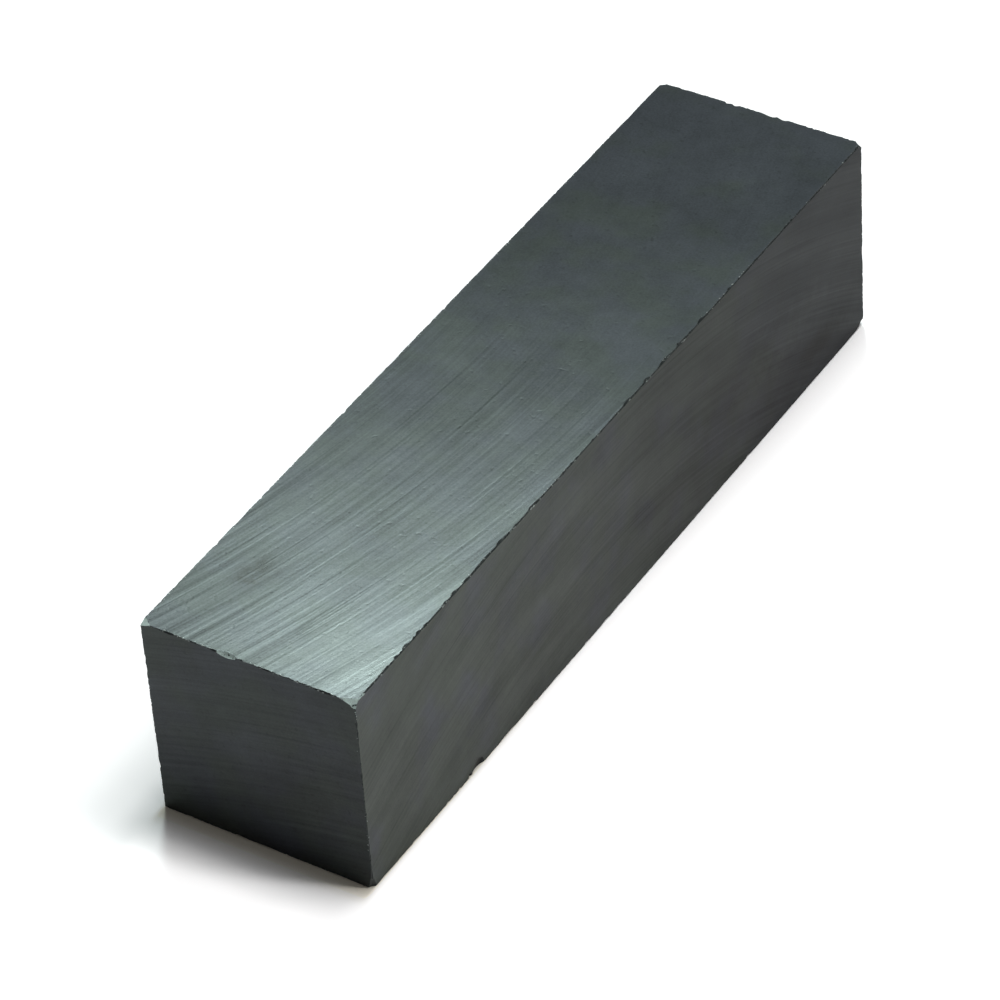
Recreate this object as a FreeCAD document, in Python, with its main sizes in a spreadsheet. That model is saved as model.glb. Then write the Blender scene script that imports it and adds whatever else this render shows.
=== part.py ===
import FreeCAD, Part
import os

import Sketcher

# Block magnet: a bar of hard ferrite, pressed and sintered as one piece and ground flat on its six faces.
# Its length lies along Y with the front end towards -Y, its width along X, its thickness along Z.
# The origin is the middle of the bottom face. Lengths are in millimetres and angles in degrees.
# The brittle ceramic has lost shell-shaped flakes at its corners and on two edges. Each flake left a
# shallow hollow, cut here by an ellipsoid whose centre stands outside the block.

# Each size is written once here and read from the sheet everywhere else.
SIZES = {
    # Block before its edges were broken
    "width": 25.15,
    "length": 102.4,
    "thickness": 25.0,
    # Leg of the small flat that runs along all twelve edges
    "edge_break": 0.2,
    # How far a hollow's centre stands outside the block, in units of its reach: larger is flatter
    "flatness": 1.0,
    # Chipped corners: how far each hollow reaches along the width, the length and the thickness
    "front_left_top_across": 1.1,
    "front_left_top_along": 1.0,
    "front_left_top_deep": 0.45,
    "front_right_top_across": 1.7,
    "front_right_top_along": 0.65,
    "front_right_top_deep": 1.0,
    "back_right_top_across": 0.7,
    "back_right_top_along": 0.55,
    "back_right_top_deep": 0.6,
    "back_left_top_across": 0.8,
    "back_left_top_along": 0.6,
    "back_left_top_deep": 0.5,
    "front_right_foot_across": 0.55,
    "front_right_foot_along": 0.6,
    "front_right_foot_high": 1.7,
    "back_right_foot_across": 0.8,
    "back_right_foot_along": 1.6,
    "back_right_foot_high": 0.8,
    # Notch in the right side's bottom edge, deepest near its front end
    "notch_from_front": 19.55,
    "notch_length": 2.5,
    "notch_inward": 0.6,
    "notch_high": 1.35,
    "notch_lean": 14.0,
    # Flake off the front end's top edge
    "flake_from_left": 10.2,
    "flake_length": 2.7,
    "flake_inward": 0.4,
    "flake_deep": 0.5,
}

# Radii of a hollow in units of its reach: on a corner, and on an edge across it and along it
CORNER_RADIUS = "sqrt((1 + Sizes.flatness) ^ 2 + 2 * Sizes.flatness ^ 2)"
EDGE_RADIUS = "sqrt((1 + Sizes.flatness) ^ 2 + Sizes.flatness ^ 2)"
EDGE_HALF_RUN = f"{EDGE_RADIUS} / sqrt(1 + 2 * Sizes.flatness) / 2"

# Outer faces of the block, as signed distances from the origin
RIGHT_SIDE = "Sizes.width / 2"
LEFT_SIDE = "-Sizes.width / 2"
FRONT_END = "-Sizes.length / 2"
BACK_END = "Sizes.length / 2"
TOP = "Sizes.thickness"
FOOT = "0"


def write_sizes(doc):
    """Fill the sheet with one named cell for each size."""
    sheet = doc.addObject("Spreadsheet::Sheet", "Sizes")
    for row, (name, value) in enumerate(SIZES.items(), start=1):
        sheet.set(f"A{row}", name)
        sheet.set(f"B{row}", str(value))
        sheet.setAlias(f"B{row}", name)
    doc.recompute()


def origin_plane(body, role):
    """Return the body's own origin plane with this role."""
    return next(plane for plane in body.Origin.OriginFeatures if plane.Role == role)


def outline(body):
    """Sketch the bottom face: a rectangle centred on the origin."""
    sketch = body.newObject("Sketcher::SketchObject", "BottomFace")
    sketch.AttachmentSupport = (origin_plane(body, "XY_Plane"), [""])
    sketch.MapMode = "FlatFace"
    half_width = SIZES["width"] / 2
    half_length = SIZES["length"] / 2
    corners = [
        FreeCAD.Vector(-half_width, -half_length, 0),
        FreeCAD.Vector(half_width, -half_length, 0),
        FreeCAD.Vector(half_width, half_length, 0),
        FreeCAD.Vector(-half_width, half_length, 0),
    ]
    for start, end in zip(corners, corners[1:] + corners[:1]):
        sketch.addGeometry(Part.LineSegment(start, end), False)
    front, right, back, left = range(4)
    line_start, line_end = 1, 2
    root_point = (-1, 1)
    for line, following in ((front, right), (right, back), (back, left), (left, front)):
        sketch.addConstraint(Sketcher.Constraint("Coincident", line, line_end, following, line_start))
    for line in (front, back):
        sketch.addConstraint(Sketcher.Constraint("Horizontal", line))
    for line in (right, left):
        sketch.addConstraint(Sketcher.Constraint("Vertical", line))
    sketch.addConstraint(Sketcher.Constraint("Symmetric", front, line_start, back, line_start, *root_point))
    across = Sketcher.Constraint("DistanceX", front, line_start, front, line_end, SIZES["width"])
    along = Sketcher.Constraint("DistanceY", right, line_start, right, line_end, SIZES["length"])
    for name, constraint in (("width", across), ("length", along)):
        index = sketch.addConstraint(constraint)
        sketch.renameConstraint(index, name)
        sketch.setExpression(f"Constraints.{name}", f"Sizes.{name}")
    return sketch


def ground_block(body):
    """Pad the outline to the thickness and break all twelve edges."""
    pad = body.newObject("PartDesign::Pad", "Block")
    pad.Profile = outline(body)
    pad.setExpression("Length", "Sizes.thickness")
    body.Document.recompute()
    broken = body.newObject("PartDesign::Chamfer", "BrokenEdges")
    broken.Base = (pad, [f"Edge{number}" for number in range(1, len(pad.Shape.Edges) + 1)])
    broken.setExpression("Size", "Sizes.edge_break")
    body.Document.recompute()


def outside(face, reach):
    """Place a hollow's centre outside a face, on the side that the face looks to."""
    away = "-" if face in (LEFT_SIDE, FRONT_END, FOOT) else "+"
    return f"{face} {away} Sizes.flatness * Sizes.{reach}"


def hollow(body, name, centre, radii, lean=None):
    """Cut one ellipsoid out of the body; centre and radii are expressions along X, Y and Z."""
    cut = body.newObject("PartDesign::SubtractiveEllipsoid", name)
    cut.AttachmentSupport = (origin_plane(body, "XY_Plane"), [""])
    cut.MapMode = "FlatFace"
    if lean:
        cut.AttachmentOffset = FreeCAD.Placement(
            FreeCAD.Vector(), FreeCAD.Rotation(FreeCAD.Vector(-1, 0, 0), SIZES[lean])
        )
        cut.setExpression(".AttachmentOffset.Rotation.Angle", f"Sizes.{lean}")
    for axis, place in zip("xyz", centre):
        cut.setExpression(f".AttachmentOffset.Base.{axis}", place)
    for radius, size in zip(("Radius2", "Radius3", "Radius1"), radii):
        cut.setExpression(radius, size)
    body.Document.recompute()


def corner_chip(body, name, corner, side, end, level, upright):
    """Chip one corner; upright is the word for its reach along Z."""
    reaches = (f"{corner}_across", f"{corner}_along", f"{corner}_{upright}")
    centre = [outside(face, reach) for face, reach in zip((side, end, level), reaches)]
    hollow(body, name, centre, [f"Sizes.{reach} * {CORNER_RADIUS}" for reach in reaches])


def bottom_edge_notch(body):
    """Cut the notch in the right side's bottom edge, leaning so that its front end is the steep one."""
    centre = (
        outside(RIGHT_SIDE, "notch_inward"),
        f"{FRONT_END} + Sizes.notch_from_front",
        outside(FOOT, "notch_high"),
    )
    radii = (
        f"Sizes.notch_inward * {EDGE_RADIUS}",
        f"Sizes.notch_length * {EDGE_HALF_RUN}",
        f"Sizes.notch_high * {EDGE_RADIUS}",
    )
    hollow(body, "BottomEdgeNotch", centre, radii, "notch_lean")


def top_edge_flake(body):
    """Cut the long thin flake off the front end's top edge."""
    centre = (
        f"{LEFT_SIDE} + Sizes.flake_from_left",
        outside(FRONT_END, "flake_inward"),
        outside(TOP, "flake_deep"),
    )
    radii = (
        f"Sizes.flake_length * {EDGE_HALF_RUN}",
        f"Sizes.flake_inward * {EDGE_RADIUS}",
        f"Sizes.flake_deep * {EDGE_RADIUS}",
    )
    hollow(body, "TopEdgeFlake", centre, radii)


def magnet_block(doc):
    """Build the one piece: the ground block with what it has lost."""
    body = doc.addObject("PartDesign::Body", "MagnetBlock")
    body.Label = "magnet_block"
    body.Placement = FreeCAD.Placement()
    ground_block(body)
    corner_chip(body, "FrontLeftTopChip", "front_left_top", LEFT_SIDE, FRONT_END, TOP, "deep")
    corner_chip(body, "FrontRightTopChip", "front_right_top", RIGHT_SIDE, FRONT_END, TOP, "deep")
    corner_chip(body, "BackRightTopChip", "back_right_top", RIGHT_SIDE, BACK_END, TOP, "deep")
    corner_chip(body, "BackLeftTopChip", "back_left_top", LEFT_SIDE, BACK_END, TOP, "deep")
    corner_chip(body, "FrontRightFootChip", "front_right_foot", RIGHT_SIDE, FRONT_END, FOOT, "high")
    corner_chip(body, "BackRightFootChip", "back_right_foot", RIGHT_SIDE, BACK_END, FOOT, "high")
    bottom_edge_notch(body)
    top_edge_flake(body)
    return body


def check(doc, body):
    """Stop unless every object is sound and every hollow bites into the block."""
    for item in doc.Objects:
        if "Invalid" in item.State or "Error" in item.State:
            raise RuntimeError(f"{item.Name} failed: {item.State}")
    if body.Shape.isNull() or not body.Shape.isValid() or len(body.Shape.Solids) != 1:
        raise RuntimeError(f"{body.Label} is not one valid solid")
    for item in body.Group:
        if item.isDerivedFrom("PartDesign::SubtractiveEllipsoid"):
            ellipsoid = item.AddSubShape.copy()
            ellipsoid.Placement = item.Placement
            bite = item.BaseFeature.Shape.common(ellipsoid)
            if bite.isNull() or bite.Volume <= 0:
                raise RuntimeError(f"{item.Name} takes nothing away")
            print(f"{item.Name}: takes {bite.Volume:.3f} mm3")


doc = FreeCAD.newDocument("BlockMagnet")
write_sizes(doc)
block = magnet_block(doc)
doc.recompute()
check(doc, block)
os.makedirs("parts", exist_ok=True)
block.Shape.exportStep(f"parts/{block.Label}.step")
print(f"{block.Label}: volume {block.Shape.Volume:.1f} mm3, faces {len(block.Shape.Faces)}")
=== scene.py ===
import math
import random
from dataclasses import dataclass

import bmesh
import bpy
from mathutils import Matrix, Vector, noise


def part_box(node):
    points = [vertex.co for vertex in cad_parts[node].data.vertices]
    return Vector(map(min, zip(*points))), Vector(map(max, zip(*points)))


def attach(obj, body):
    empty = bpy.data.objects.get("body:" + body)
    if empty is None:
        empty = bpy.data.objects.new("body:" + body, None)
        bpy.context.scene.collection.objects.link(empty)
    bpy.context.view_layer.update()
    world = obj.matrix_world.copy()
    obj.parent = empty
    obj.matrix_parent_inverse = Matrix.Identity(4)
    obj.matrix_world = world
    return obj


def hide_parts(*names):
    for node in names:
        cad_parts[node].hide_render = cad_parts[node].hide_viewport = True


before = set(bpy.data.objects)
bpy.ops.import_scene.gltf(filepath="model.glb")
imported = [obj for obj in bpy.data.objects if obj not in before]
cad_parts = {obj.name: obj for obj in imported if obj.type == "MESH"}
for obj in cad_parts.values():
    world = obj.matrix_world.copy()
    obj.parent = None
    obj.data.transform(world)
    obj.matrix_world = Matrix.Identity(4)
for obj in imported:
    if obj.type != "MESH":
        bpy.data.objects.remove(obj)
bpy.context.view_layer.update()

# A ground block of hard ferrite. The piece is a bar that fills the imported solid's box. Crumbled breaks are
# cut along its twelve edges, then the flakes that its corners and edges lost, and each face gets the arcs
# that its grinding wheel left. Lengths are in metres and angles in degrees, unless a name or a comment says
# otherwise.

MM = 0.001
NODE = "magnet_block"
LOW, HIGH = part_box(NODE)
AXES = X, Y, Z = range(3)

# Camera, solved from the photograph's perspective: its target lies on the optical axis
IMAGE_PIXELS = 1000
FOCAL_PIXELS = 4917
SENSOR_WIDTH_MM = 36
CLIP_START = 0.01
CLIP_END = 20
CAMERA_TARGET = Vector((-1.153, -3.690, 9.637)) * MM
CAMERA_DISTANCE = 517.6 * MM
CAMERA_AZIMUTH = 34.186
CAMERA_ELEVATION = 40.022
CAMERA_ROLL = 4.186

# Colours of the ferrite: ground, stained, broken, and crumbled pale at a break; the pale ones also paint
# highlight on breaks
BLUE_SLATE = (0.0295, 0.0325, 0.0410, 1)
GREEN_SLATE = (0.0285, 0.0345, 0.0315, 1)
OLIVE_SLATE = (0.0280, 0.0350, 0.0250, 1)
BROWN_BLACK = (0.0230, 0.0200, 0.0130, 1)
FRACTURE_GREY = (0.0230, 0.0260, 0.0260, 1)
BRUISE_AND_HIGHLIGHT_GREY = (0.24, 0.265, 0.25, 1)
FRESH_AND_HIGHLIGHT_GREY = (0.41, 0.51, 0.48, 1)
SPECULAR_TINT = (0.87, 1.0, 0.97, 1)
SPECULAR_LEVEL = 0.2


@dataclass
class Stain:
    """A blotch on a face: its centre and radii along the face's two axes in millimetres, and its tone.

    A tone below zero is darker and browner than the face around it, and one above zero is paler."""

    centre: tuple
    radii: tuple
    tone: float


@dataclass
class Face:
    """One ground face: its outward axis and sign, and its looks. Lengths are millimetres.

    wheel: the grinding wheel's centre in the two other axes, from the middle of the block's bottom face
    streaks: strength of the wheel's marks
    roughness: of the surface between the marks
    mottle: strength of the clouds and blotches of tone
    smoke: strength of the soft drifts of sheen along the arcs
    flecks: how readily the worn border shows pale flecks
    green: the face's greener slate, which patches of the bluer one interrupt
    blue: what moves that mix towards the bluer one, in the block's front and middle and at its back
    rubbed: the two places along the block between which the streaks fade
    painted_shade: an axis, the two places on it between which painted shade darkens the face's colour and
    sheen, and the share left at each
    stains: blotches in their own places; the last one on the top is painted highlight
    seed: sets the face's noise apart from the others'"""

    name: str
    axis: int
    sign: int
    wheel: tuple
    streaks: float = 1.0
    roughness: float = 0.32
    mottle: float = 1.0
    smoke: float = 0.6
    flecks: float = 0.20
    green: tuple = GREEN_SLATE
    blue: tuple = (0.0, 0.12)
    rubbed: tuple = ()
    painted_shade: tuple = ()
    stains: tuple = ()
    seed: float = 0.0


TOP_STAINS_AND_HIGHLIGHT = (
    Stain((-7.7, -39.9), (1.4, 1.8), -0.55),
    Stain((-6.0, -38.6), (1.2, 1.6), -0.60),
    Stain((-6.6, -41.4), (1.1, 1.4), -0.25),
    Stain((5.5, 7.5), (2.2, 3.0), 0.35),
    Stain((-4.0, -12.0), (2.5, 3.5), 0.25),
    # Painted highlight: a paler, glossier patch on the top's front right corner
    Stain((8.5, -43.0), (7.0, 11.0), 0.65),
)
RIGHT_STAINS = (
    Stain((33.5, 10.5), (7.0, 2.6), 0.7),
    Stain((41.0, 4.5), (5.0, 1.6), -0.7),
    Stain((14.0, 5.0), (6.0, 1.5), -0.4),
    Stain((-8.0, 20.0), (8.0, 3.0), 0.3),
    Stain((22.0, 3.5), (13.0, 5.0), 0.4),
    Stain((-22.0, 5.0), (16.0, 5.0), -0.2),
)
FACES = (
    Face("top", Z, 1, (-152, 6), roughness=0.21, flecks=0.28, rubbed=(-6, 14), stains=TOP_STAINS_AND_HIGHLIGHT, seed=1.0),
    Face("bottom", Z, -1, (-140, -12), seed=2.0),
    # The right side darkens towards its back and the front end towards its foot, by painted shade
    Face(
        "right", X, 1, (-6, -90), streaks=0.4, roughness=0.40, mottle=1.6, smoke=2.6, green=OLIVE_SLATE,
        blue=(-0.10, 0.24), painted_shade=(Y, -35, 42, 0.89, 0.29), stains=RIGHT_STAINS, seed=3.0,
    ),
    Face("left", X, -1, (8, -120), streaks=0.7, seed=4.0),
    Face(
        "front", Y, -1, (30, -110), streaks=0.37, roughness=0.36, mottle=1.3,
        painted_shade=(Z, 20, 3, 1.0, 0.69), seed=5.0,
    ),
    Face("back", Y, 1, (-20, -120), streaks=0.5, seed=6.0),
)
# The ground faces take the first material slots, in this order, and the broken surfaces the next one
FRACTURE_SLOT = len(FACES)


def direction(azimuth, elevation):
    """Unit vector from the block towards azimuth 0 at -Y, turning towards +X, and this elevation."""
    a, e = math.radians(azimuth), math.radians(elevation)
    return Vector((math.sin(a) * math.cos(e), -math.cos(a) * math.cos(e), math.sin(e)))


def looking_back(point, back):
    """Placing of a camera or lamp at a point, so that it looks against the direction back."""
    return Matrix.Translation(point) @ back.to_track_quat("Z", "Y").to_matrix().to_4x4()


def object_from(name, data):
    """Link a new object that holds a mesh, camera or lamp."""
    made = bpy.data.objects.new(name, data)
    bpy.context.scene.collection.objects.link(made)
    return made


def make_camera():
    """The photograph's camera."""
    camera = bpy.data.cameras.new("camera")
    camera.sensor_width = SENSOR_WIDTH_MM
    camera.lens = camera.sensor_width * FOCAL_PIXELS / IMAGE_PIXELS
    camera.clip_start = CLIP_START
    camera.clip_end = CLIP_END
    holder = object_from("camera", camera)
    back = direction(CAMERA_AZIMUTH, CAMERA_ELEVATION)
    roll = Matrix.Rotation(math.radians(-CAMERA_ROLL), 4, "Z")
    holder.matrix_world = looking_back(CAMERA_TARGET + back * CAMERA_DISTANCE, back) @ roll
    bpy.context.scene.camera = holder


# A hollow is part of an ellipsoid whose centre stands outside the block, on the side that each of its faces
# looks to. Flatness is how far outside, in units of the hollow's reach along that axis.


def corner_radius(flat):
    """Radius of a hollow on a corner, in units of its reach."""
    return math.sqrt((1 + flat) ** 2 + 2 * flat ** 2)


def edge_radius(flat):
    """Radius of a hollow across an edge, in units of its reach."""
    return math.sqrt((1 + flat) ** 2 + flat ** 2)


def edge_half_run(flat):
    """Radius of a hollow along an edge, in units of its whole length there."""
    return edge_radius(flat) / math.sqrt(1 + 2 * flat) / 2


@dataclass
class CornerFlake:
    """A flake off one corner: the signs of its three faces, its reach along each axis and its flatness.

    Reaches are in millimetres. Roughness is the height of its lumps in radii."""

    signs: tuple
    reach: tuple
    flat: float = 1.0
    roughness: float = 0.045


@dataclass
class EdgeFlake:
    """A flake off an edge: the axis it runs along, its faces' signs, its place, length, reaches and lean.

    The place is counted along the edge from its low end. Lengths are in millimetres."""

    run: int
    signs: tuple
    place: float
    length: float
    reach: tuple
    lean: float = 0.0
    flat: float = 1.0
    roughness: float = 0.045


# The flakes off six corners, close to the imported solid's chips but with rough walls. The front right top
# corner broke twice.
CORNER_FLAKES = (
    CornerFlake((-1, -1, 1), (1.15, 0.95, 0.42), 3.0, 0.012),
    CornerFlake((1, -1, 1), (1.75, 0.75, 0.62), 3.0, 0.012),
    CornerFlake((1, -1, 1), (0.75, 0.45, 0.95), 1.0, 0.06),
    CornerFlake((1, 1, 1), (0.7, 0.55, 0.6)),
    CornerFlake((-1, 1, 1), (0.8, 0.6, 0.5)),
    CornerFlake((1, -1, -1), (0.55, 0.6, 1.7)),
    CornerFlake((1, 1, -1), (0.8, 1.6, 0.8)),
)
RIGHT_TOP = (1, 0, 1)
FRONT_TOP = (0, -1, 1)
BACK_TOP = (0, 1, 1)
LEFT_TOP = (-1, 0, 1)
RIGHT_FOOT = (1, 0, -1)
NOTCH_FROM_FRONT = 19.55
FLAKE_FROM_LEFT = 10.2
# The notch with a small break beside it, the front end's flake with two, and the smaller ones that the photo
# shows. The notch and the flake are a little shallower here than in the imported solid.
EDGE_FLAKES = (
    EdgeFlake(Y, RIGHT_FOOT, NOTCH_FROM_FRONT, 2.4, (0.30, 0, 1.35), 14.0),
    EdgeFlake(Y, RIGHT_FOOT, 18.3, 0.7, (0.25, 0, 0.55), flat=0.5),
    EdgeFlake(X, FRONT_TOP, FLAKE_FROM_LEFT, 2.7, (0, 0.38, 0.40)),
    EdgeFlake(X, FRONT_TOP, 3.3, 1.8, (0, 0.15, 0.17), flat=0.7),
    EdgeFlake(X, FRONT_TOP, 8.7, 0.9, (0, 0.14, 0.16), flat=0.5),
    EdgeFlake(Y, RIGHT_TOP, 7.5, 0.8, (0.24, 0, 0.14)),
    EdgeFlake(Y, RIGHT_TOP, 9.3, 1.3, (0.30, 0, 0.16)),
    EdgeFlake(Y, RIGHT_TOP, 11.6, 1.0, (0.26, 0, 0.20)),
    EdgeFlake(Y, RIGHT_TOP, 12.8, 0.6, (0.20, 0, 0.12)),
    EdgeFlake(Y, RIGHT_TOP, 16.6, 1.0, (0.22, 0, 0.16)),
    EdgeFlake(Y, RIGHT_TOP, 18.2, 1.4, (0.26, 0, 0.13)),
    EdgeFlake(Y, RIGHT_TOP, 23.8, 6.5, (0.20, 0, 0.10), flat=2.0),
    EdgeFlake(Y, RIGHT_TOP, 26.9, 1.8, (0.28, 0, 0.16)),
    EdgeFlake(Y, RIGHT_TOP, 33.0, 1.8, (0.24, 0, 0.18)),
    EdgeFlake(Y, RIGHT_TOP, 51.9, 2.0, (0.24, 0, 0.14)),
    EdgeFlake(Y, RIGHT_TOP, 55.8, 1.3, (0.30, 0, 0.20)),
    EdgeFlake(Y, RIGHT_TOP, 59.5, 2.8, (0.26, 0, 0.14), flat=1.6),
    EdgeFlake(Y, RIGHT_TOP, 62.5, 0.7, (0.30, 0, 0.22)),
    EdgeFlake(Y, RIGHT_TOP, 67.1, 1.8, (0.24, 0, 0.14)),
    EdgeFlake(Y, RIGHT_TOP, 73.1, 0.7, (0.24, 0, 0.18)),
    EdgeFlake(Y, LEFT_TOP, 13.5, 0.9, (0.20, 0, 0.22)),
    EdgeFlake(Y, LEFT_TOP, 21.5, 0.7, (0.18, 0, 0.20)),
    EdgeFlake(Y, LEFT_TOP, 37.0, 1.0, (0.20, 0, 0.22)),
    EdgeFlake(Y, LEFT_TOP, 56.5, 0.8, (0.20, 0, 0.20)),
    EdgeFlake(Y, RIGHT_FOOT, 16.3, 0.7, (0.16, 0, 0.25)),
    EdgeFlake(Y, RIGHT_FOOT, 31.0, 0.9, (0.18, 0, 0.28)),
    EdgeFlake(Y, RIGHT_FOOT, 76.0, 1.2, (0.22, 0, 0.32)),
)
# How finely a flake's ball is divided
EDGE_DETAIL = 4
CORNER_DETAIL = 5
# How far apart the lumps are, in radii of the ball on an edge and in reaches of the hollow on a corner
EDGE_LUMP_PITCH = 0.22
CORNER_LUMP_PITCH = 0.44
# Noise is read at chance places within this many units of its origin
NOISE_RANGE = 50
FLAKE_SEED = 11


def face_level(axis, sign):
    """Where the block's face lies along an axis: the high one for a sign above zero, else the low one."""
    return HIGH[axis] if sign > 0 else LOW[axis]


def irregular_ball(target, rng, centre, radii, turn, detail, roughness, pitch):
    """Add a lumpy ellipsoid to a bmesh: roughness is the lump height and pitch their spacing, in radii."""
    offset = Vector([rng.uniform(-NOISE_RANGE, NOISE_RANGE) for _ in AXES])
    ball = bmesh.ops.create_icosphere(target, subdivisions=detail, radius=1.0)
    for vertex in ball["verts"]:
        unit = vertex.co.copy()
        lump = 1 + roughness * noise.noise(unit / pitch + offset)
        vertex.co = centre + turn @ Vector([unit[axis] * radii[axis] * lump for axis in AXES])


def add_corner_flake(target, rng, flake):
    """Add the cutter of a lumpy hollow on a corner."""
    flat = flake.flat
    centre = Vector([
        face_level(axis, sign) + sign * flat * reach * MM
        for axis, (sign, reach) in enumerate(zip(flake.signs, flake.reach))
    ])
    radii = [reach * MM * corner_radius(flat) for reach in flake.reach]
    pitch = CORNER_LUMP_PITCH / corner_radius(flat)
    irregular_ball(target, rng, centre, radii, Matrix.Identity(3), CORNER_DETAIL, flake.roughness, pitch)


def add_edge_flake(target, rng, flake):
    """Add the cutter of a lumpy hollow on an edge."""
    flat = flake.flat
    centre = Vector()
    radii = [0.0, 0.0, 0.0]
    for axis in AXES:
        if axis == flake.run:
            centre[axis] = LOW[axis] + flake.place * MM
            radii[axis] = flake.length * MM * edge_half_run(flat)
        else:
            sign, reach = flake.signs[axis], flake.reach[axis] * MM
            centre[axis] = face_level(axis, sign) + sign * flat * reach
            radii[axis] = reach * edge_radius(flat)
    turn = Matrix.Rotation(math.radians(-flake.lean), 3, "X")
    irregular_ball(target, rng, centre, radii, turn, EDGE_DETAIL, flake.roughness, EDGE_LUMP_PITCH)


@dataclass
class Crumbling:
    """How an edge crumbled: chips of these lengths and depths side by side. Lengths are in millimetres.

    The higher the rarity, the fewer chips come near the deepest."""

    shortest: float
    longest: float
    deepest: float
    rarity: float


# All lengths here are in millimetres
FINE_CRUMBS = Crumbling(0.14, 0.60, 0.11, 1.6)
COARSE_CRUMBS = Crumbling(0.6, 3.5, 0.15, 3.5)
WAVY_CRUMBS = Crumbling(0.5, 2.6, 0.27, 1.4)
WAVY_EDGES = ((X, BACK_TOP),)
# How far an edge is broken at least, along the first and the second axis across it
LEAST_BREAK = (0.03, 0.03)
WORN_EDGES = {(Y, RIGHT_TOP): (0.05, 0.12)}
# A chip may reach further along one axis than the other, and be deepest nearer to one of its ends
CHIP_LEANS = (0.6, 1.4)
CHIP_SKEWS = (-1.2, 1.2)
# Cross sections of an edge's cutter stand this far apart, from one overrun before the edge to one past it
STATION = 0.10
OVERRUN = 1.0
# Points of a section along the break: those between 0 and 1 lie on it, hollowed by the sag and gritty
BREAK_POINTS = (-1.0, 0.0, 0.33, 0.67, 1.0, 2.0)
SAG = 0.22
GRIT = 0.018
GRIT_PITCH = 0.14
GRIT_STRETCH = 3
# How far a section's back stands outside the block
OUTSIDE = 1.2
EDGE_SEED = 100


def twelve_edges():
    """Each edge as the axis it runs along and the signs of its two faces, with 0 along the run."""
    for run in AXES:
        first, second = [axis for axis in AXES if axis != run]
        for a in (-1, 1):
            for b in (-1, 1):
                signs = [0, 0, 0]
                signs[first], signs[second] = a, b
                yield run, tuple(signs)


def crumbs(length, kind, rng):
    """Chips side by side along an edge: start, end, skew, and depth along the first and second axis."""
    end = -2 * OVERRUN
    while end < length + 2 * OVERRUN:
        start = end
        end += rng.uniform(kind.shortest, kind.longest)
        depth = kind.deepest * rng.random() ** kind.rarity
        lean = rng.uniform(*CHIP_LEANS)
        skew = 2 ** rng.uniform(*CHIP_SKEWS)
        yield start, end, skew, depth * lean, depth * (2 - lean)


def reaches(length, least, kinds, rng):
    """At each station along an edge, how far its break reaches along its first and its second axis."""
    count = int((length + 2 * OVERRUN) / STATION) + 1
    places = [-OVERRUN + number * STATION for number in range(count)]
    found = [list(least) for _ in places]
    for kind in kinds:
        chips = crumbs(length, kind, rng)
        start, end, skew, first, second = next(chips)
        for place, reach in zip(places, found):
            while place > end:
                start, end, skew, first, second = next(chips)
            bulge = 1 - (((place - start) / (end - start)) ** skew * 2 - 1) ** 2
            reach[0] = max(reach[0], least[0] + first * bulge)
            reach[1] = max(reach[1], least[1] + second * bulge)
    return places, found


def add_edge_break(target, run, signs, least, kinds, rng):
    """Add the cutter that takes one sharp edge off: a long prism with a crumbled inner side."""
    first, second = [axis for axis in AXES if axis != run]
    places, found = reaches((HIGH[run] - LOW[run]) / MM, least, kinds, rng)
    seed = rng.uniform(0, 2 * NOISE_RANGE)
    rings = []
    for place, (a, b) in zip(places, found):
        section = []
        for t in BREAK_POINTS:
            dip = 0.0
            if 0 < t < 1:
                grit = noise.noise(Vector((place / GRIT_PITCH, t * GRIT_STRETCH, seed)))
                dip = SAG * min(a, b) + GRIT * grit
            section.append((-a * t - dip, -b * (1 - t) - dip))
        section += [(-2 * a, OUTSIDE), (OUTSIDE, OUTSIDE), (OUTSIDE, -2 * b)]
        ring = []
        for u, v in section:
            point = Vector()
            point[run] = LOW[run] + place * MM
            point[first] = face_level(first, signs[first]) + signs[first] * u * MM
            point[second] = face_level(second, signs[second]) + signs[second] * v * MM
            ring.append(target.verts.new(point))
        rings.append(ring)
    for here, there in zip(rings, rings[1:]):
        for i in range(len(here)):
            j = (i + 1) % len(here)
            target.faces.new((here[i], here[j], there[j], there[i]))
    target.faces.new(rings[0])
    target.faces.new(rings[-1])


def cutter_mesh(name, add, *details):
    """A mesh of the cutter that add makes from the details, faced with the fracture's slot."""
    shape = bmesh.new()
    add(shape, *details)
    bmesh.ops.recalc_face_normals(shape, faces=shape.faces)
    for face in shape.faces:
        face.material_index = FRACTURE_SLOT
        face.smooth = True
    mesh = bpy.data.meshes.new(name)
    shape.to_mesh(mesh)
    shape.free()
    return mesh


def edge_break(number, run, signs):
    """The cutter mesh of one edge."""
    kinds = [FINE_CRUMBS, WAVY_CRUMBS if (run, signs) in WAVY_EDGES else COARSE_CRUMBS]
    least = WORN_EDGES.get((run, signs), LEAST_BREAK)
    rng = random.Random(EDGE_SEED + number)
    return cutter_mesh("edge_break_%d" % number, add_edge_break, run, signs, least, kinds, rng)


def cutters():
    """The meshes of all that the bar lost."""
    rng = random.Random(FLAKE_SEED)
    meshes = [edge_break(number, run, signs) for number, (run, signs) in enumerate(twelve_edges())]
    for number, flake in enumerate(CORNER_FLAKES):
        meshes.append(cutter_mesh("corner_flake_%d" % number, add_corner_flake, rng, flake))
    for number, flake in enumerate(EDGE_FLAKES):
        meshes.append(cutter_mesh("edge_flake_%d" % number, add_edge_flake, rng, flake))
    return meshes


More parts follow.
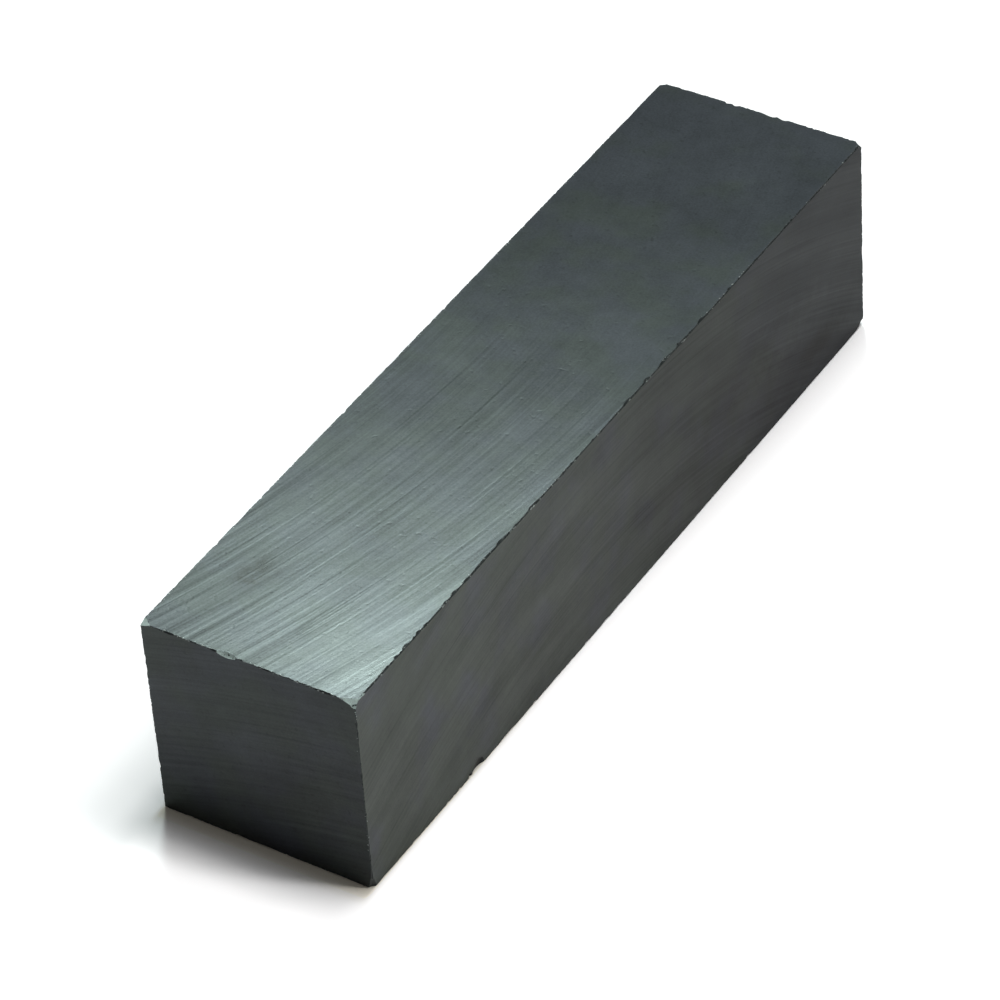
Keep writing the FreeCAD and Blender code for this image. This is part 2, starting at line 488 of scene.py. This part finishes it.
def subtract(piece, meshes):
    """Cut the meshes out of the piece, one after another."""
    holders = [object_from(mesh.name, mesh) for mesh in meshes]
    for holder in holders:
        for material in piece.data.materials:
            holder.data.materials.append(material)
        cut = piece.modifiers.new(holder.name, "BOOLEAN")
        cut.operation = "DIFFERENCE"
        cut.solver = "MANIFOLD"
        cut.object = holder
    view = bpy.context.evaluated_depsgraph_get()
    view.update()
    mesh = bpy.data.meshes.new_from_object(piece.evaluated_get(view))
    piece.modifiers.clear()
    piece.data = mesh
    for holder in holders:
        spare = holder.data
        bpy.data.objects.remove(holder)
        bpy.data.meshes.remove(spare)


# Side of the cells that the bar's faces are divided into, so that no face of the result is very long
CELL = 2.5 * MM
# Points this near to a plane count as on it
TOUCHING = 1e-7
# What counts as a piece of one of the block's planes, by its distance and by its normal
ON_PLANE = 1e-6
SQUARE_ON = 0.999
# Smooth shading stops at edges that turn by more than this
SHARP_FROM = 32
SHORTEST_EDGE = 0.002 * MM


def plain_bar():
    """The bar as ground, before its edges crumbled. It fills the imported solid's box."""
    shape = bmesh.new()
    bmesh.ops.create_cube(shape, size=1.0)
    for vertex in shape.verts:
        vertex.co = Vector([face_level(axis, vertex.co[axis]) for axis in AXES])
    for axis in AXES:
        normal = Vector([1.0 if axis == other else 0.0 for other in AXES])
        cells = round((HIGH[axis] - LOW[axis]) / CELL)
        for cell in range(1, cells):
            level = LOW[axis] + (HIGH[axis] - LOW[axis]) * cell / cells
            parts = shape.verts[:] + shape.edges[:] + shape.faces[:]
            bmesh.ops.bisect_plane(shape, geom=parts, dist=TOUCHING, plane_co=normal * level, plane_no=normal)
    mesh = bpy.data.meshes.new("ferrite_bar")
    shape.to_mesh(mesh)
    shape.free()
    return mesh


def shells(shape):
    """The separate closed skins of a bmesh, as lists of faces."""
    left = set(shape.faces)
    while left:
        skin = []
        waiting = [left.pop()]
        while waiting:
            face = waiting.pop()
            skin.append(face)
            for edge in face.edges:
                for beside in edge.link_faces:
                    if beside in left:
                        left.remove(beside)
                        waiting.append(beside)
        yield skin


def clean(mesh):
    """Merge points that all but touch, and drop crumbs that came loose."""
    shape = bmesh.new()
    shape.from_mesh(mesh)
    bmesh.ops.dissolve_degenerate(shape, dist=SHORTEST_EDGE, edges=shape.edges)
    skins = sorted(shells(shape), key=len)
    for skin in skins[:-1]:
        bmesh.ops.delete(shape, geom=skin, context="FACES")
    bmesh.ops.triangulate(shape, faces=[face for face in shape.faces if len(face.verts) > 4])
    shape.to_mesh(mesh)
    shape.free()


def finish_polygons(mesh):
    """Shade what lies in the block's planes flat, as that face, and the rest smooth, as fracture."""
    mesh.shade_smooth()
    mesh.set_sharp_from_angle(angle=math.radians(SHARP_FROM))
    for polygon in mesh.polygons:
        polygon.material_index = FRACTURE_SLOT
        for slot, face in enumerate(FACES):
            off = abs(polygon.center[face.axis] - face_level(face.axis, face.sign))
            if off < ON_PLANE and polygon.normal[face.axis] * face.sign > SQUARE_ON:
                polygon.material_index = slot
                polygon.use_smooth = False


def make_bar():
    """The worn bar."""
    piece = object_from("ferrite_bar", plain_bar())
    for face in FACES:
        piece.data.materials.append(ground_ferrite(face))
    piece.data.materials.append(fractured_ferrite())
    subtract(piece, cutters())
    clean(piece.data)
    finish_polygons(piece.data)
    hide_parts(NODE)
    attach(piece, "root")


class Shading:
    """Short ways to add nodes to one material. A value is a number, a vector or another node's output."""

    def __init__(self, name):
        self.material = bpy.data.materials.new(name)
        self.material.use_nodes = True
        self.tree = self.material.node_tree
        self.shader = self.tree.nodes["Principled BSDF"]

    def feed(self, socket, value):
        """Link or set a socket."""
        if isinstance(value, bpy.types.NodeSocket):
            self.tree.links.new(value, socket)
        else:
            socket.default_value = value

    def surface(self, name, value):
        """Feed one of the shader's own sockets."""
        self.feed(self.shader.inputs[name], value)

    def node(self, kind, inputs, output=0, **settings):
        """Add a node and return one of its outputs."""
        made = self.tree.nodes.new(kind)
        for key, value in settings.items():
            setattr(made, key, value)
        for key, value in inputs.items():
            self.feed(made.inputs[key], value)
        return made.outputs[output]

    def math(self, operation, *values):
        return self.node("ShaderNodeMath", dict(enumerate(values)), operation=operation)

    def times(self, first, second):
        return self.math("MULTIPLY", first, second)

    def total(self, first, *others):
        for other in others:
            first = self.math("ADD", first, other)
        return first

    def vector(self, x, y, z):
        return self.node("ShaderNodeCombineXYZ", {0: x, 1: y, 2: z})

    def axes(self, vector):
        """The three parts of a vector."""
        split = self.tree.nodes.new("ShaderNodeSeparateXYZ")
        self.feed(split.inputs[0], vector)
        return list(split.outputs)

    def length(self, vector):
        return self.node("ShaderNodeVectorMath", {0: vector}, "Value", operation="LENGTH")

    def distance(self, first, second):
        return self.node("ShaderNodeVectorMath", {0: first, 1: second}, "Value", operation="DISTANCE")

    def scaled(self, vector, factor):
        """A vector or colour times a factor."""
        return self.node("ShaderNodeVectorMath", {0: vector, "Scale": factor}, operation="SCALE")

    def place(self):
        """Where the surface point is, in millimetres from the object's origin."""
        return self.scaled(self.node("ShaderNodeTexCoord", {}, "Object"), 1 / MM)

    def noise(self, vector, detail=2.0, roughness=0.5):
        """Noise about zero, mostly within a quarter of it."""
        made = self.node(
            "ShaderNodeTexNoise", {"Vector": vector, "Scale": 1.0, "Detail": detail, "Roughness": roughness}
        )
        return self.math("SUBTRACT", made, 0.5)

    def field(self, vector, pitch, detail=2.0, roughness=0.5):
        """Noise with lumps about pitch millimetres apart."""
        return self.noise(self.scaled(vector, 1 / pitch), detail, roughness)

    def weighted(self, *pairs):
        """The sum of values, each times its weight."""
        return self.total(*[self.times(value, weight) for value, weight in pairs])

    def step(self, value, low, high, to_low=0.0, to_high=1.0):
        """A smooth step from to_low at low to to_high at high."""
        inputs = {"Value": value, "From Min": low, "From Max": high, "To Min": to_low, "To Max": to_high}
        return self.node("ShaderNodeMapRange", inputs, interpolation_type="SMOOTHSTEP")

    def blend(self, factor, first, second):
        """The first colour where the factor is 0 and the second where it is 1."""
        inputs = {"Factor": factor, 6: first, 7: second}
        return self.node("ShaderNodeMix", inputs, "Result", data_type="RGBA", clamp_factor=True)


# Lengths and places here are in millimetres. Levels are those of noise between which a mark sets in.
GROOVE_LEVELS = (0.10, 0.18)
GLINT_LEVELS = (0.12, 0.20)
PIT_LEVELS = (0.20, 0.36)
FLECK_LEVELS = (0.36, 0.43)
BRUISE_LEVELS = (0.36, 0.44)
TINT_LEVELS = (-0.14, 0.14)
# Between these distances from a face's border its worn rim ends
RIM = (0.05, 0.40)
# Between these places along the block its faces turn to their back's colour
TOWARDS_BACK = (15, 42)
RUBBED_SHARE = 0.15
ANISOTROPY = 0.5
SEED_STEP = 17.3
# A stain fades out at this many radii, its outline torn by noise
STAIN_END = 1.8
STAIN_TEAR = 2.4
STAIN_TEAR_PITCH = 1.6


def wheel_marks(sh, face, place):
    """Distance from the wheel's centre, run along its arc, and the radial direction."""
    along = [axis for axis in AXES if axis != face.axis]
    parts = sh.axes(place)
    offset = [sh.math("SUBTRACT", parts[axis], centre) for axis, centre in zip(along, face.wheel)]
    radial = [0.0, 0.0, 0.0]
    for axis, value in zip(along, offset):
        radial[axis] = value
    radial = sh.vector(*radial)
    turn = sh.math("ARCTAN2", offset[1], offset[0])
    run = sh.times(turn, math.hypot(*face.wheel))
    tangent = sh.node("ShaderNodeVectorMath", {0: radial}, operation="NORMALIZE")
    return sh.length(radial), run, tangent


def edge_distance(sh, face, place):
    """How far the nearest border of the face is."""
    parts = sh.axes(place)
    gaps = []
    for axis in AXES:
        if axis != face.axis:
            middle = (LOW[axis] + HIGH[axis]) / 2 / MM
            half = (HIGH[axis] - LOW[axis]) / 2 / MM
            away = sh.math("ABSOLUTE", sh.math("SUBTRACT", parts[axis], middle))
            gaps.append(sh.math("SUBTRACT", half, away))
    return sh.math("MINIMUM", *gaps)


def stain_tone(sh, face, place):
    """The summed tones of the face's stains at the surface point."""
    along = [axis for axis in AXES if axis != face.axis]
    parts = sh.axes(place)
    tear = sh.times(sh.field(place, STAIN_TEAR_PITCH, 3.0, 0.6), STAIN_TEAR)
    tone = 0.0
    for stain in face.stains:
        offsets = [
            sh.math("DIVIDE", sh.math("SUBTRACT", parts[axis], centre), radius)
            for axis, centre, radius in zip(along, stain.centre, stain.radii)
        ]
        distance = sh.total(sh.length(sh.vector(*offsets, 0.0)), tear)
        tone = sh.total(tone, sh.step(distance, 0.0, STAIN_END, stain.tone, 0.0))
    return tone


def ground_ferrite(face):
    """Ferrite as the wheel left it on one face."""
    sh = Shading("ferrite_" + face.name)
    place = sh.place()
    back = sh.axes(place)[Y]
    radius, run, tangent = wheel_marks(sh, face, place)
    seed = face.seed * SEED_STEP

    def streaks(extra, pitch, length, detail=1.0):
        """Marks that are pitch wide across the arcs and length long along them, about zero."""
        across = sh.math("DIVIDE", radius, pitch)
        along = sh.math("DIVIDE", run, length)
        return sh.noise(sh.vector(across, along, seed + extra), detail)

    # Marks of the wheel, from the finest to the widest
    hair = streaks(0, pitch=0.18, length=13.0, detail=0.0)
    scratch = streaks(5, pitch=0.34, length=22.0, detail=0.0)
    groove = sh.step(streaks(13, pitch=0.36, length=24.0, detail=0.0), *GROOVE_LEVELS)
    glint = sh.step(streaks(21, pitch=0.32, length=17.0, detail=0.0), *GLINT_LEVELS)
    swathe = streaks(7, pitch=0.9, length=32.0)
    band = streaks(9, pitch=2.4, length=45.0, detail=2.0)
    keen = face.streaks
    if face.rubbed:
        keen = sh.step(back, *face.rubbed, face.streaks, RUBBED_SHARE * face.streaks)
    fine = sh.times(keen, sh.weighted((hair, 1.6), (scratch, 1.4), (groove, 0.55), (glint, -0.5)))
    broad = sh.times(keen, sh.weighted((swathe, 0.5), (band, 0.6)))
    marks = sh.total(fine, broad)

    # Clouds, drifts, grains and pores of the ceramic itself
    moved = sh.node("ShaderNodeVectorMath", {0: place, 1: (seed, seed, seed)}, operation="ADD")
    cloud = sh.times(sh.field(moved, pitch=11.0, detail=3.0), face.mottle)
    mottle = sh.times(sh.field(moved, pitch=2.4, detail=3.0, roughness=0.6), face.mottle)
    smoke = sh.times(streaks(30, pitch=3.6, length=13.0, detail=3.0), face.smoke)
    speck = sh.field(moved, pitch=0.24)
    pit = sh.step(sh.field(moved, pitch=0.50, detail=0.0), *PIT_LEVELS)
    stain = stain_tone(sh, face, place)
    tint = sh.total(sh.field(moved, pitch=6.0, detail=3.0), sh.step(back, *TOWARDS_BACK, *face.blue))

    # The rim, worn and with pale flecks
    rim = sh.total(edge_distance(sh, face, place), sh.times(speck, 0.5))
    worn = sh.step(rim, *RIM, 1.0, 0.0)
    loose = sh.field(moved, pitch=0.30, detail=1.0)
    fleck = sh.step(sh.weighted((loose, 1.0), (worn, face.flecks), (cloud, 0.3)), *FLECK_LEVELS)

    shade = sh.total(1.0, sh.weighted(
        (marks, -0.25), (cloud, 0.8), (mottle, 0.6), (speck, 0.7), (worn, 0.2), (stain, 0.30), (pit, -0.25),
    ))
    sheen = sh.total(1.0, sh.weighted((marks, -0.36), (smoke, 0.45), (cloud, 0.25), (stain, 0.12)))
    # Painted shade: the face's colour and sheen darken along one axis
    if face.painted_shade:
        axis, *painted_span = face.painted_shade
        painted_dimming = sh.step(sh.axes(place)[axis], *painted_span)
        sheen = sh.times(sheen, painted_dimming)
        shade = sh.times(shade, painted_dimming)
    slate = sh.blend(sh.step(tint, *TINT_LEVELS), face.green, BLUE_SLATE)
    slate = sh.scaled(sh.blend(sh.step(stain, 0.0, -1.0), slate, BROWN_BLACK), shade)
    gloss = sh.weighted(
        (marks, 0.030), (cloud, 0.03), (mottle, 0.03), (speck, 0.03), (worn, 0.02), (fleck, 0.1),
        (stain, -0.05),
    )
    micrometres = sh.weighted((fine, -0.8), (broad, -0.8), (speck, 0.7), (mottle, 2.8), (pit, -2.4))
    bump = sh.node("ShaderNodeBump", {"Height": micrometres, "Strength": 1.0, "Distance": 0.001 * MM})

    sh.surface("Base Color", sh.blend(fleck, slate, BRUISE_AND_HIGHLIGHT_GREY))
    sh.surface("Roughness", sh.total(face.roughness, gloss))
    sh.surface("Normal", bump)
    sh.surface("Tangent", tangent)
    sh.surface("Anisotropic", ANISOTROPY)
    sh.surface("Specular IOR Level", sh.times(sheen, SPECULAR_LEVEL))
    sh.surface("Specular Tint", SPECULAR_TINT)
    return sh.material


# Places of fresh, pale breaks: the two front top corners and the front flake. At the front right corner the
# paleness is partly painted highlight, of facets that mirror the key lamp. Each is full within the first
# distance and ends at the second, and the last number is what it adds to the bruise.
BRUISED_AND_LIT_PLACES = (
    (Vector((LOW.x, LOW.y, HIGH.z)) / MM, 0.9, 1.6, 0.42),
    (Vector((HIGH.x, LOW.y, HIGH.z)) / MM, 1.2, 2.2, 0.32),
    (Vector((LOW.x + FLAKE_FROM_LEFT * MM, LOW.y, HIGH.z)) / MM, 0.9, 1.5, 0.34),
)
FRESH_LEVELS = (0.0, 0.3)
# The edges are bruised a little more in front of these places along the block
TOWARDS_FRONT = (28, 8)
# Crushed grains are drawn out along the block by this scale
GRAIN_SCALE = (1.0, 0.5, 1.0)
# Painted shade in the notch's hollow: up to the first distance from its deepest place the break keeps this
# share of its colour and gloss, and past the second one all of it
NOTCH_PLACE = Vector((HIGH.x, LOW.y + 19.4 * MM, LOW.z + 0.5 * MM)) / MM
NOTCH_SHADE_REACH = (1.3, 1.8)
NOTCH_SHADE_SHARE = 0.35
FRACTURE_ROUGHNESS = 0.42
GRAIN_HEIGHT = 0.02 * MM


def fractured_ferrite():
    """Ferrite where it broke: matt and crystalline, with pale crumbled grains.

    Where the break faces up, and partly at the front right top corner, their paleness is painted highlight.
    """
    sh = Shading("ferrite_fracture")
    place = sh.place()
    grain = sh.field(place, pitch=0.09, detail=3.0, roughness=0.6)
    patch = sh.field(place, pitch=0.7)
    drawn = sh.node("ShaderNodeVectorMath", {0: place, 1: GRAIN_SCALE}, operation="MULTIPLY")
    crush = sh.field(drawn, pitch=0.24, roughness=0.6)
    forward = sh.step(sh.axes(place)[Y], *TOWARDS_FRONT)
    up = sh.axes(sh.node("ShaderNodeNewGeometry", {}, "Normal"))[Z]
    near = 0.0
    for spot, inner, outer, weight in BRUISED_AND_LIT_PLACES:
        near = sh.math("MAXIMUM", near, sh.step(sh.distance(place, spot), inner, outer, weight, 0.0))
    # Painted highlight in part: breaks that face upwards turn paler, as does the front right top corner
    pale_and_lit = sh.weighted((crush, 1.0), (patch, 0.5), (up, 0.26), (near, 1.0), (forward, 0.05))
    # Painted shade in the notch's hollow darkens its colour and gloss
    notch_shade = sh.step(sh.distance(place, NOTCH_PLACE), *NOTCH_SHADE_REACH, NOTCH_SHADE_SHARE, 1.0)
    shade = sh.times(sh.total(1.0, sh.weighted((grain, 1.2), (patch, 1.0))), notch_shade)
    pale = sh.blend(sh.step(near, *FRESH_LEVELS), BRUISE_AND_HIGHLIGHT_GREY, FRESH_AND_HIGHLIGHT_GREY)
    colour = sh.blend(sh.step(pale_and_lit, *BRUISE_LEVELS), FRACTURE_GREY, pale)
    bump = sh.node("ShaderNodeBump", {"Height": grain, "Strength": 1.0, "Distance": GRAIN_HEIGHT})

    sh.surface("Base Color", sh.scaled(colour, shade))
    sh.surface("Roughness", sh.total(FRACTURE_ROUGHNESS, sh.times(patch, 0.3)))
    sh.surface("Normal", bump)
    sh.surface("Specular IOR Level", sh.times(notch_shade, SPECULAR_LEVEL))
    sh.surface("Specular Tint", SPECULAR_TINT)
    return sh.material


# The floor lights the block as a plain pale one. The camera and the block's gloss see it white, with painted
# shadow where the block shades it: a darker strip left of it, and a darker, warmer patch at the contact with
# its front end. The colour in front also lies further left, and the brighter one beyond, painted light that
# washes out the lamps' shadow, lies right of the block and far off.
FLOOR_AS_LIT = (0.8, 0.8, 0.8, 1)
FLOOR_LEFT_SHADOW = (1.24, 1.24, 1.24, 1)
FLOOR_FRONT = (1.40, 1.39, 1.39, 1)
FLOOR_CONTACT_SHADOW = (0.84, 0.79, 0.68, 1)
FLOOR_BEYOND_LIFTED = (1.68, 1.67, 1.67, 1)
FLOOR_HALF_SIZE = 3.0
FLOOR_GAP = 0.02 * MM
FLOOR_ROUGHNESS = 0.9
# Where these colours change, in millimetres across the block, along it, and from its middle
LEFT_BEGINS = (-21.0, -14.0)
LEFT_ENDS = (-13.5, -12.0)
RIGHT_BEGINS = (13.0, 18.0)
CONTACT_BEGINS = (-54.3, -51.6)
CONTACT_ENDS = (0.0, -40.0)
CONTACT_SIDES = (12.3, 13.3)
FAR_BEGINS = (90.0, 130.0)


def floor_seen(sh):
    """The floor's colour as the camera and the block's gloss see it, with its painted shadow and painted
    light.
    """
    place = sh.place()
    across, along, _ = sh.axes(place)
    # Painted shadow: a darker strip left of the block
    white = sh.blend(sh.step(across, *LEFT_BEGINS), FLOOR_FRONT, FLOOR_LEFT_SHADOW)
    white = sh.blend(sh.step(across, *LEFT_ENDS), white, FLOOR_FRONT)
    # Painted shadow at the contact with the block's front end
    contact = sh.times(sh.step(along, *CONTACT_BEGINS), sh.step(along, *CONTACT_ENDS))
    contact = sh.times(contact, sh.step(sh.math("ABSOLUTE", across), *CONTACT_SIDES, 1.0, 0.0))
    white = sh.blend(contact, white, FLOOR_CONTACT_SHADOW)
    # Painted light: right of the block and far off the floor is seen brighter, washing out the lamps' shadow
    white = sh.blend(sh.step(across, *RIGHT_BEGINS), white, FLOOR_BEYOND_LIFTED)
    return sh.blend(sh.step(sh.length(place), *FAR_BEGINS), white, FLOOR_BEYOND_LIFTED)


def make_stage():
    """A white floor with painted shadow beside the block and painted light right of it, which fills the
    picture and is seen brighter than it lights the block.
    """
    shape = bmesh.new()
    bmesh.ops.create_grid(shape, x_segments=1, y_segments=1, size=FLOOR_HALF_SIZE)
    mesh = bpy.data.meshes.new("floor")
    shape.to_mesh(mesh)
    shape.free()
    floor = object_from("floor", mesh)
    floor.location.z = LOW[Z] - FLOOR_GAP
    sh = Shading("floor")
    rays = sh.tree.nodes.new("ShaderNodeLightPath").outputs
    seen = sh.total(rays["Is Camera Ray"], rays["Is Glossy Ray"], rays["Is Transmission Ray"])
    sh.surface("Base Color", sh.blend(seen, FLOOR_AS_LIT, floor_seen(sh)))
    sh.surface("Roughness", FLOOR_ROUGHNESS)
    sh.surface("Specular IOR Level", 0.0)
    mesh.materials.append(sh.material)


KEY_COLOUR = (0.87, 1.0, 0.985)
LAMP_DISTANCE = 1.2
# The two narrow lamps stand this way from the places on the floor that they light
SPOT_AZIMUTH = 110
SPOT_ELEVATION = 55
SPOT_DISTANCE = 0.6
SPOT_CONE = 12
SPOT_SOFTNESS = 0.05
WORLD_STRENGTH = 0.03


def area_light(name, azimuth, elevation, size, strength, colour=(1, 1, 1)):
    """A soft box that looks at the block from this direction."""
    light = bpy.data.lights.new(name, "AREA")
    light.shape = "RECTANGLE"
    light.size, light.size_y = size
    light.energy = strength
    light.color = colour
    back = direction(azimuth, elevation)
    object_from(name, light).matrix_world = looking_back(back * LAMP_DISTANCE, back)


def floor_spot(name, target, strength):
    """A narrow lamp on a place on the floor, given in millimetres, which the block's right side mirrors."""
    light = bpy.data.lights.new(name, "SPOT")
    light.spot_size = math.radians(SPOT_CONE)
    light.spot_blend = 1.0
    light.shadow_soft_size = SPOT_SOFTNESS
    light.energy = strength
    back = direction(SPOT_AZIMUTH, SPOT_ELEVATION)
    object_from(name, light).matrix_world = looking_back(Vector(target) * MM + back * SPOT_DISTANCE, back)


def make_lights():
    """Soft studio light: a key behind the block that its top mirrors, lamps above, two on the floor."""
    area_light("key", 214, 49, (0.10, 0.16), 2.6, KEY_COLOUR)
    area_light("key_left", 220, 46, (0.10, 0.10), 0.83, KEY_COLOUR)
    area_light("key_right", 209, 46, (0.12, 0.12), 0.80, KEY_COLOUR)
    area_light("behind", 201, 33, (0.40, 0.40), 0.42, KEY_COLOUR)
    area_light("overhead", 165, 81, (0.2, 0.2), 4.3)
    area_light("sky", 0, 89.9, (0.5, 0.5), 1.0)
    area_light("sky_right", 90, 76, (0.3, 0.3), 1.1)
    area_light("side", 120, 69, (0.28, 0.28), 2.2)
    floor_spot("floor_middle", (35, -25, 0), 3.6)
    floor_spot("floor_front", (35, -55, 0), 2.8)
    world = bpy.data.worlds.new("studio")
    world.use_nodes = True
    bpy.context.scene.world = world
    back = world.node_tree.nodes["Background"]
    back.inputs["Color"].default_value = (1, 1, 1, 1)
    back.inputs["Strength"].default_value = WORLD_STRENGTH


bpy.context.scene.view_settings.view_transform = "Standard"
make_camera()
make_bar()
make_stage()
make_lights()
